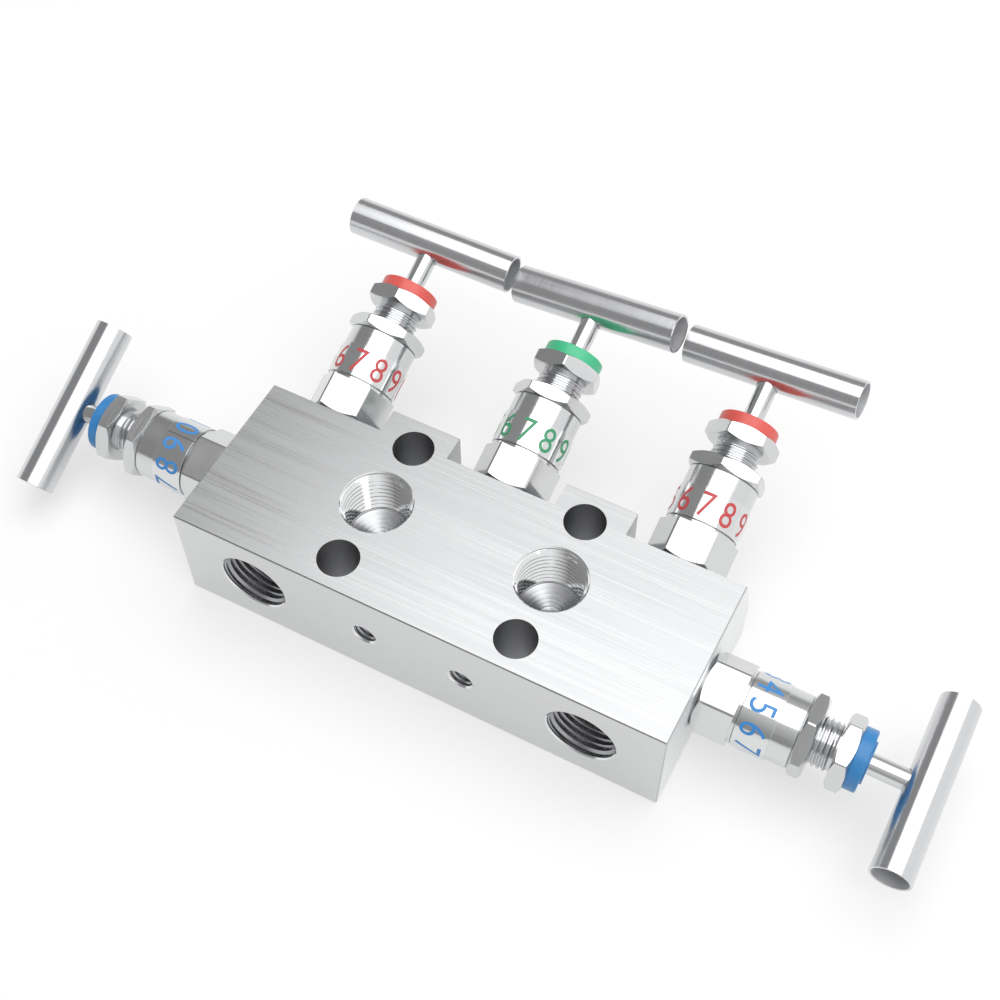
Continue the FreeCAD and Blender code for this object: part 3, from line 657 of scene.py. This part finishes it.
def threadTree():
    tree = bpy.data.node_groups.new("screw thread", "GeometryNodeTree")
    for name, number in threadInputs.items():
        socket = tree.interface.new_socket(name, in_out="INPUT", socket_type="NodeSocketFloat")
        socket.default_value = number
    tree.interface.new_socket("Steps", in_out="INPUT", socket_type="NodeSocketInt").default_value = 96
    tree.interface.new_socket("Material", in_out="INPUT", socket_type="NodeSocketMaterial")
    tree.interface.new_socket("Geometry", in_out="OUTPUT", socket_type="NodeSocketGeometry")
    given = addNode(tree, "NodeGroupInput").outputs
    known = {name: given[name] for name in [*threadInputs, "Steps"]}
    here = addNode(tree, "GeometryNodeInputPosition")
    parts = addNode(tree, "ShaderNodeSeparateXYZ", {}, {}, {0: here.outputs[0]}).outputs
    known.update({"grid x": parts["X"], "grid y": parts["Y"]})
    for name, operation, *terms in gridSums + threadSums:
        numbers = {i: term for i, term in enumerate(terms) if not isinstance(term, str)}
        sockets = {i: known[term] for i, term in enumerate(terms) if isinstance(term, str)}
        known[name] = addNode(tree, "ShaderNodeMath", {"operation": operation}, numbers, sockets).outputs[0]
    grid = addNode(tree, "GeometryNodeMeshGrid", {}, {"Size X": 1.0, "Size Y": 1.0},
                   {"Vertices X": known["columns"], "Vertices Y": known["rows"]})
    target = addNode(tree, "ShaderNodeCombineXYZ", {}, {},
                     {"X": known["x"], "Y": known["y"], "Z": known["height"]})
    wrapped = addNode(tree, "GeometryNodeSetPosition", {}, {},
                      {"Geometry": grid.outputs["Mesh"], "Position": target.outputs[0]})
    welded = addNode(tree, "GeometryNodeMergeByDistance", {}, {"Distance": 0.002},
                     {"Geometry": wrapped.outputs["Geometry"]})
    real = addNode(tree, "GeometryNodeRealizeInstances", {}, {}, {"Geometry": welded.outputs["Geometry"]})
    painted = addNode(tree, "GeometryNodeSetMaterial", {}, {},
                      {"Geometry": real.outputs["Geometry"], "Material": given["Material"]})
    addNode(tree, "NodeGroupOutput", {}, {}, {"Geometry": painted.outputs["Geometry"]})
    return tree


screwThread = threadTree()


def threadMesh(name, facts, finish, steps=96):
    thing = newObject(name, bpy.data.meshes.new(name))
    modifier = thing.modifiers.new("thread", "NODES")
    modifier.node_group = screwThread
    given = {**threadInputs, **facts, "Steps": steps, "Material": finishes[finish]}
    for item in screwThread.interface.items_tree:
        if item.in_out == "INPUT":
            modifier[item.identifier] = given[item.name]
    mesh = takeMesh(thing)
    shape = bmesh.new()
    shape.from_mesh(mesh)
    bmesh.ops.dissolve_degenerate(shape, edges=shape.edges, dist=0.0005)
    bmesh.ops.recalc_face_normals(shape, faces=shape.faces)
    shape.to_mesh(mesh)
    shape.free()
    smoothFaces(mesh)
    mesh.set_sharp_from_angle(angle=math.radians(28))
    return mesh


# Numerals printed round the sleeve, plain 0 to 9. They are cut in strips, so that they bend with it.

numeralFacts = {"size": 10.6, "narrow": 0.86, "radius": 10.70, "proud": 0.03, "middle": 16.8, "strip": 0.6,
                "count": 10}


def numeralsMesh(n):
    joined = bmesh.new()
    for digit in range(n["count"]):
        words = bpy.data.curves.new("numeral", "FONT")
        words.body = str(digit)
        words.size = n["size"]
        words.extrude = n["proud"] / 2
        words.align_x = "CENTER"
        words.align_y = "CENTER"
        words.resolution_u = 6
        shape = bmesh.new()
        shape.from_mesh(takeMesh(newObject("numeral", words)))
        bmesh.ops.remove_doubles(shape, verts=shape.verts, dist=0.001)
        low = min(v.co.x for v in shape.verts)
        high = max(v.co.x for v in shape.verts)
        bottom = min(v.co.y for v in shape.verts)
        top = max(v.co.y for v in shape.verts)
        cutAt = low + n["strip"]
        while cutAt < high:
            bmesh.ops.bisect_plane(shape, geom=shape.verts[:] + shape.edges[:] + shape.faces[:], dist=1e-5,
                                   plane_co=(cutAt, 0, 0), plane_no=(1, 0, 0))
            cutAt += n["strip"]
        station = fullTurn * (digit + 0.5) / n["count"]
        for v in shape.verts:
            across = n["narrow"] * (v.co.x - (low + high) / 2)
            radius = n["radius"] + n["proud"] / 2 + v.co.z
            angle = station + across / n["radius"]
            height = n["middle"] + v.co.y - (bottom + top) / 2
            v.co = (radius * math.cos(angle), radius * math.sin(angle), height)
        wrapped = bpy.data.meshes.new("numeral")
        shape.to_mesh(wrapped)
        shape.free()
        joined.from_mesh(wrapped)
    bmesh.ops.recalc_face_normals(joined, faces=joined.faces)
    mesh = bpy.data.meshes.new("numerals")
    joined.to_mesh(mesh)
    joined.free()
    return mesh


# The valves put together

glandThreads = {
    "Root radius": glandFacts["core"] + 0.05, "Crest radius": glandFacts["crest"],
    "Back radius": glandFacts["core"] - 0.3, "Pitch": glandFacts["pitch"],
    "Start": glandFacts["threadFoot"], "End": glandFacts["threadTop"], "Fade": 0.5,
}
bonnetShape = bonnetMesh(bonnetFacts)
sleeveShape = sleeveMesh(sleeveFacts)
nutShape = nutMesh(nutFacts)
glandShape = glandMesh(glandFacts)
glandThread = threadMesh("gland thread", glandThreads, "thread")
capShape = capMesh(capFacts)
stemShape = stemMesh(stemFacts)
handleShape = handleMesh(handleFacts)
numeralsShape = numeralsMesh(numeralFacts)

for valve, facts in valves.items():
    spindle = valve + "_spindle"
    colour = facts["colour"]
    still = valveMatrix(valve)
    lifted = valveMatrix(valve, 0, facts["lift"])
    gland = valveMatrix(valve, facts["glandTurn"])
    across = Matrix.Translation((0, 0, handleFacts["height"])) @ Matrix.Rotation(math.pi / 2, 4, "Y")
    bar = valveMatrix(valve, facts["handleTurn"], facts["lift"]) @ across
    addPiece(valve + "_turned_bonnet", bonnetShape, valveMatrix(valve, facts["bonnetTurn"]), "root",
             ["turned"], valve + "_bonnet")
    addPiece(valve + "_band", sleeveShape, still, "root", ["band"], valve + "_marker_sleeve")
    addPiece(valve + "_numerals", numeralsShape, still, "root", [colour + "Ink"])
    addPiece(valve + "_milled_nut", nutShape, valveMatrix(valve, facts["nutTurn"]), "root",
             ["milled"], valve + "_lock_nut")
    addPiece(valve + "_milled_gland", glandShape, gland, "root", ["milled"],
             valve + "_gland_screw")
    addPiece(valve + "_gland_thread", glandThread, gland, "root", ["thread"])
    addPiece(valve + "_moulded_cap", capShape, still, "root", [colour],
             valve + "_dust_cap")
    addPiece(valve + "_round_stem", stemShape, lifted, spindle, ["rod"], valve + "_stem")
    addPiece(valve + "_tube_handle", handleShape, bar, spindle, ["tube", "tubeBore"],
             valve + "_t_handle")
print("valves built")


# Block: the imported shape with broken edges, threads in its ports.
# Holes in the top are placed by x and y, and those in the front by x and z. Slack is how far a rounded
# edge may reach past its hole; upright, sloping and square are limits of a face's normal.

blockFacts = {
    "finishes": ["ground", "drilled", "tapped", "shadedThread", "milledEndPaintedLight", "groundPaintedLight"],
    "edge": 0.22, "edgeAngle": 28, "top": 36.0, "front": -30.0, "endReach": 70.0,
    "boltHoles": [(x, y) for x in (-27, 27) for y in (-20.65, 20.65)], "boltRadius": 6.0, "rim": 0.3,
    "ports": [(-27, 0), (27, 0)], "vents": [(-51, 18.5), (51, 18.5)], "portRadius": 10.5, "portFloor": 8,
    "brackets": [(-15, 18.5), (15, 18.5)], "bracketRadius": 3.9, "sideFloor": -8, "mouth": 0.7,
    "slack": 0.06, "upright": 0.3, "sloping": 0.97, "square": 0.9,
}


def inHole(along, across, holes, radius):
    return any(math.hypot(along - a, across - c) < radius for a, c in holes)


# The finish of one face of the block, from where it lies and which way it looks
def blockFinish(b, centre, normal):
    x, y, z = centre
    slack = b["slack"]
    inFront = (inHole(x, z, b["vents"], b["portRadius"] + slack)
               or inHole(x, z, b["brackets"], b["bracketRadius"] + slack))
    # bolt-hole walls take the darker drilled steel: painted shade
    if inHole(x, y, b["boltHoles"], b["boltRadius"] + slack) and abs(normal.z) < b["upright"]:
        return "drilled"
    if inHole(x, y, b["boltHoles"], b["boltRadius"] + b["rim"]) and abs(normal.z) < b["sloping"]:
        return "tapped"
    if inHole(x, y, b["ports"], b["portRadius"] + slack) and b["portFloor"] < z < b["top"] - slack:
        return "tapped"
    # deeper in the side holes the walls take the darker thread steel: painted shade
    if inFront and b["front"] + slack < y < b["sideFloor"]:
        return "tapped" if y < b["front"] + b["mouth"] else "shadedThread"
    # the end faces take the paler milled steel: painted light
    if abs(normal.x) > b["square"] and abs(x) > b["endReach"]:
        return "milledEndPaintedLight"
    # the front face takes the paler copy of the ground steel: painted light
    if normal.y < -b["square"] and y < b["front"] + slack:
        return "groundPaintedLight"
    return "ground"


def blockMesh(b):
    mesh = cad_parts["manifold_block"].data.copy()
    shape = bmesh.new()
    shape.from_mesh(mesh)
    bmesh.ops.scale(shape, vec=(1 / millimetre,) * 3, verts=shape.verts)
    bmesh.ops.remove_doubles(shape, verts=shape.verts, dist=0.002)
    bmesh.ops.dissolve_limit(shape, angle_limit=math.radians(0.5), verts=shape.verts, edges=shape.edges)
    shape.to_mesh(mesh)
    shape.free()
    mesh.materials.clear()
    mesh = breakEdges(mesh, b["edge"], b["edgeAngle"])
    for polygon in mesh.polygons:
        polygon.material_index = b["finishes"].index(blockFinish(b, polygon.center, polygon.normal))
    return mesh


addPiece("ground_block", blockMesh(blockFacts), toMetres, "root", blockFacts["finishes"],
         "manifold_block")

portThreads = {"Root radius": 10.02, "Crest radius": 9.25, "Back radius": 10.09, "Pitch": 1.814,
               "Start": 0.9, "End": 16.6, "Fade": 0.6, "Taper": -0.012}
bracketThreads = {"Root radius": 3.38, "Crest radius": 2.95, "Back radius": 3.4, "Pitch": 1.25,
                  "Start": 0.8, "End": 11.4, "Fade": 0.5}
# The drill's point under a process port: turned steps round a bright pilot
portFloorFacts = {"wall": 10.09, "bore": 9.12, "top": 16.4, "shoulder": 17.0,
                  "slope": 1 / math.tan(math.radians(59)), "steps": (9.0, 7.6, 6.4, 5.2, 4.2, 3.3),
                  "step": 0.3, "stepRun": 0.1, "pilot": 2.2, "pilotDepth": 1.1, "behind": 0.25}


# How deep the drill's cone lies at a radius
def coneDepth(p, radius):
    return p["shoulder"] + (p["bore"] - radius) * p["slope"]


def portFloorMesh(p):
    rows = [(p["wall"], p["top"]), (p["bore"], p["top"])]
    for radius in p["steps"]:
        depth = coneDepth(p, radius)
        rows += [(radius + p["stepRun"], depth), (radius, depth - p["step"])]
    pilotTop = coneDepth(p, p["pilot"])
    deepest = pilotTop + p["pilotDepth"]
    rows += [(p["pilot"], pilotTop), (0.0, deepest), (0.0, deepest + p["behind"]),
             (p["wall"], coneDepth(p, p["wall"]) + p["behind"])]
    return breakEdges(latheMesh("port floor", rows, columns=96), width=0)


portShape = threadMesh("port thread", portThreads, "portThread", steps=120)
# the side ports' and bracket holes' threads take the darker steel, painted shade
ventShape = threadMesh("vent thread", portThreads, "shadedThread", steps=120)
bracketShape = threadMesh("bracket thread", bracketThreads, "shadedThread", steps=48)
portFloorShape = portFloorMesh(portFloorFacts)
downwards = Matrix.Rotation(math.pi, 4, "X")
inwards = Matrix.Rotation(-math.pi / 2, 4, "X")
holePairs = zip(("left", "right"), blockFacts["ports"], blockFacts["vents"], blockFacts["brackets"])
for side, (portX, portY), (ventX, ventZ), (bracketX, bracketZ) in holePairs:
    portPlace = toMetres @ Matrix.Translation((portX, portY, blockFacts["top"])) @ downwards
    addPiece(f"process_port_{side}_thread", portShape, portPlace, "root", ["portThread"])
    addPiece(f"process_port_{side}_floor", portFloorShape, portPlace, "root", ["drillPoint"])
    ventPlace = toMetres @ Matrix.Translation((ventX, blockFacts["front"], ventZ)) @ inwards
    addPiece(f"vent_port_{side}_thread", ventShape, ventPlace, "root", ["shadedThread"])
    bracketPlace = toMetres @ Matrix.Translation((bracketX, blockFacts["front"], bracketZ)) @ inwards
    addPiece(f"bracket_hole_{side}_thread", bracketShape, bracketPlace, "root",
             ["shadedThread"])
print("block built")


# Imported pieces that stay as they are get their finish

def paint(node, finish):
    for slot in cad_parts[node].material_slots:
        slot.material = finishes[finish]


for valve in valves:
    paint(valve + "_packing", "fluoropolymer")
    paint(valve + "_packing_washers", "drilled")
    paint(valve + "_needle_tip", "thread")
paint("bonnet_gaskets", "fluoropolymer")


# Floor: matt paper, with a share of plain white where the camera or a reflection sees it

floorFacts = {"size": 6.0, "below": 0.0002, "colour": "#E7E7E6", "glow": 0.56, "white": 0.985}


def floorMaterial(f):
    material = bpy.data.materials.new("white paper floor")
    tree = emptyTree(material)
    matt = addNode(tree, "ShaderNodeBsdfDiffuse", {}, {"Color": linearColour(f["colour"])})
    glow = addNode(tree, "ShaderNodeEmission", {}, {"Color": (1, 1, 1, 1), "Strength": f["white"]})
    ray = addNode(tree, "ShaderNodeLightPath").outputs
    seen = addNode(tree, "ShaderNodeMath", {"operation": "ADD"}, {},
                   {0: ray["Is Camera Ray"], 1: ray["Is Glossy Ray"]})
    seenToo = addNode(tree, "ShaderNodeMath", {"operation": "ADD", "use_clamp": True}, {},
                      {0: seen.outputs[0], 1: ray["Is Transmission Ray"]})
    share = addNode(tree, "ShaderNodeMath", {"operation": "MULTIPLY"}, {1: f["glow"]},
                    {0: seenToo.outputs[0]})
    mixed = addNode(tree, "ShaderNodeMixShader", {}, {},
                    {0: share.outputs[0], 1: matt.outputs[0], 2: glow.outputs[0]})
    addNode(tree, "ShaderNodeOutputMaterial", {}, {}, {"Surface": mixed.outputs[0]})
    return material


half = floorFacts["size"] / 2
floorMesh = bpy.data.meshes.new("floor")
floorMesh.from_pydata([(-half, -half, 0), (half, -half, 0), (half, half, 0), (-half, half, 0)], [],
                      [(0, 1, 2, 3)])
floorMesh.materials.append(floorMaterial(floorFacts))
floor = newObject("floor", floorMesh)
floor.location.z = -floorFacts["below"]


# Studio: a white rim round the horizon, and above it walls that are white at the right and overhead
# and dark at the left. The rim fades out between rimFoot and rimTop, and stands higher at the back.

skyFacts = {
    "rim": 1.0, "darkest": 0.32, "brightest": 1.0,
    "middle": 0.37, "overhead": 0.54, "rightwards": 1.05,
    "rimFoot": 0.05, "footLean": 0.02, "rimTop": 0.26, "topLean": 0.15,
}
skySums = [
    ("raised", "MULTIPLY", "Z", "Z"),
    ("upward", "MULTIPLY_ADD", "raised", "overhead", "middle"),
    ("sideways", "MULTIPLY_ADD", "X", "rightwards", "upward"),
    ("not too dark", "MAXIMUM", "sideways", "darkest"),
    ("wall", "MINIMUM", "not too dark", "brightest"),
    ("rim foot", "MULTIPLY_ADD", "Y", "footLean", "rimFoot"),
    ("rim top", "MULTIPLY_ADD", "Y", "topLean", "rimTop"),
]


def studioWorld(s):
    world = bpy.data.worlds.new("studio")
    tree = emptyTree(world)
    way = addNode(tree, "ShaderNodeTexCoord").outputs["Generated"]
    heading = addNode(tree, "ShaderNodeSeparateXYZ", {}, {}, {0: way}).outputs
    known = {axis: heading[axis] for axis in "XYZ"}
    for name, operation, *terms in skySums:
        numbers = {i: s[term] for i, term in enumerate(terms) if term in s}
        sockets = {i: known[term] for i, term in enumerate(terms) if term in known}
        known[name] = addNode(tree, "ShaderNodeMath", {"operation": operation}, numbers, sockets).outputs[0]
    rise = addNode(tree, "ShaderNodeMapRange", {"interpolation_type": "SMOOTHSTEP"},
                   {"To Min": 0.0, "To Max": 1.0},
                   {"Value": heading["Z"], "From Min": known["rim foot"], "From Max": known["rim top"]})
    level = addNode(tree, "ShaderNodeMix", {"data_type": "FLOAT"}, {mixNumberA: s["rim"]},
                    {mixShare: rise.outputs["Result"], mixNumberB: known["wall"]})
    shine = addNode(tree, "ShaderNodeBackground", {}, {"Color": (1, 1, 1, 1)},
                    {"Strength": level.outputs[0]})
    addNode(tree, "ShaderNodeOutputWorld", {}, {}, {"Surface": shine.outputs[0]})
    return world


bpy.context.scene.world = studioWorld(skyFacts)

# Softboxes, in metres. Brightness is as seen: a lamp's power is that times its area and pi.
softboxes = {
    "overhead softbox": {"place": (0.25, 0.14, 1.05), "target": (0.25, 0.14, 0.0), "size": (1.5, 1.25),
                         "brightness": 1.76, "reflected": True},
    # lights the floor and the caps, and leaves no reflection of its own in the steel
    "fill light": {"place": (-0.3, 0.45, 1.1), "target": (0.0, 0.0, 0.0), "size": (0.7, 0.7),
                   "brightness": 0.85, "reflected": False},
}
for name, facts in softboxes.items():
    width, depth = facts["size"]
    lampData = bpy.data.lights.new(name, "AREA")
    lampData.shape = "RECTANGLE"
    lampData.size, lampData.size_y = width, depth
    lampData.energy = facts["brightness"] * math.pi * width * depth
    lamp = newObject(name, lampData)
    lamp.location = facts["place"]
    aim = Vector(facts["target"]) - Vector(facts["place"])
    lamp.rotation_euler = aim.to_track_quat("-Z", "Y").to_euler()
    lamp.visible_glossy = facts["reflected"]

bpy.context.scene.view_settings.view_transform = "Standard"
print("studio lit")
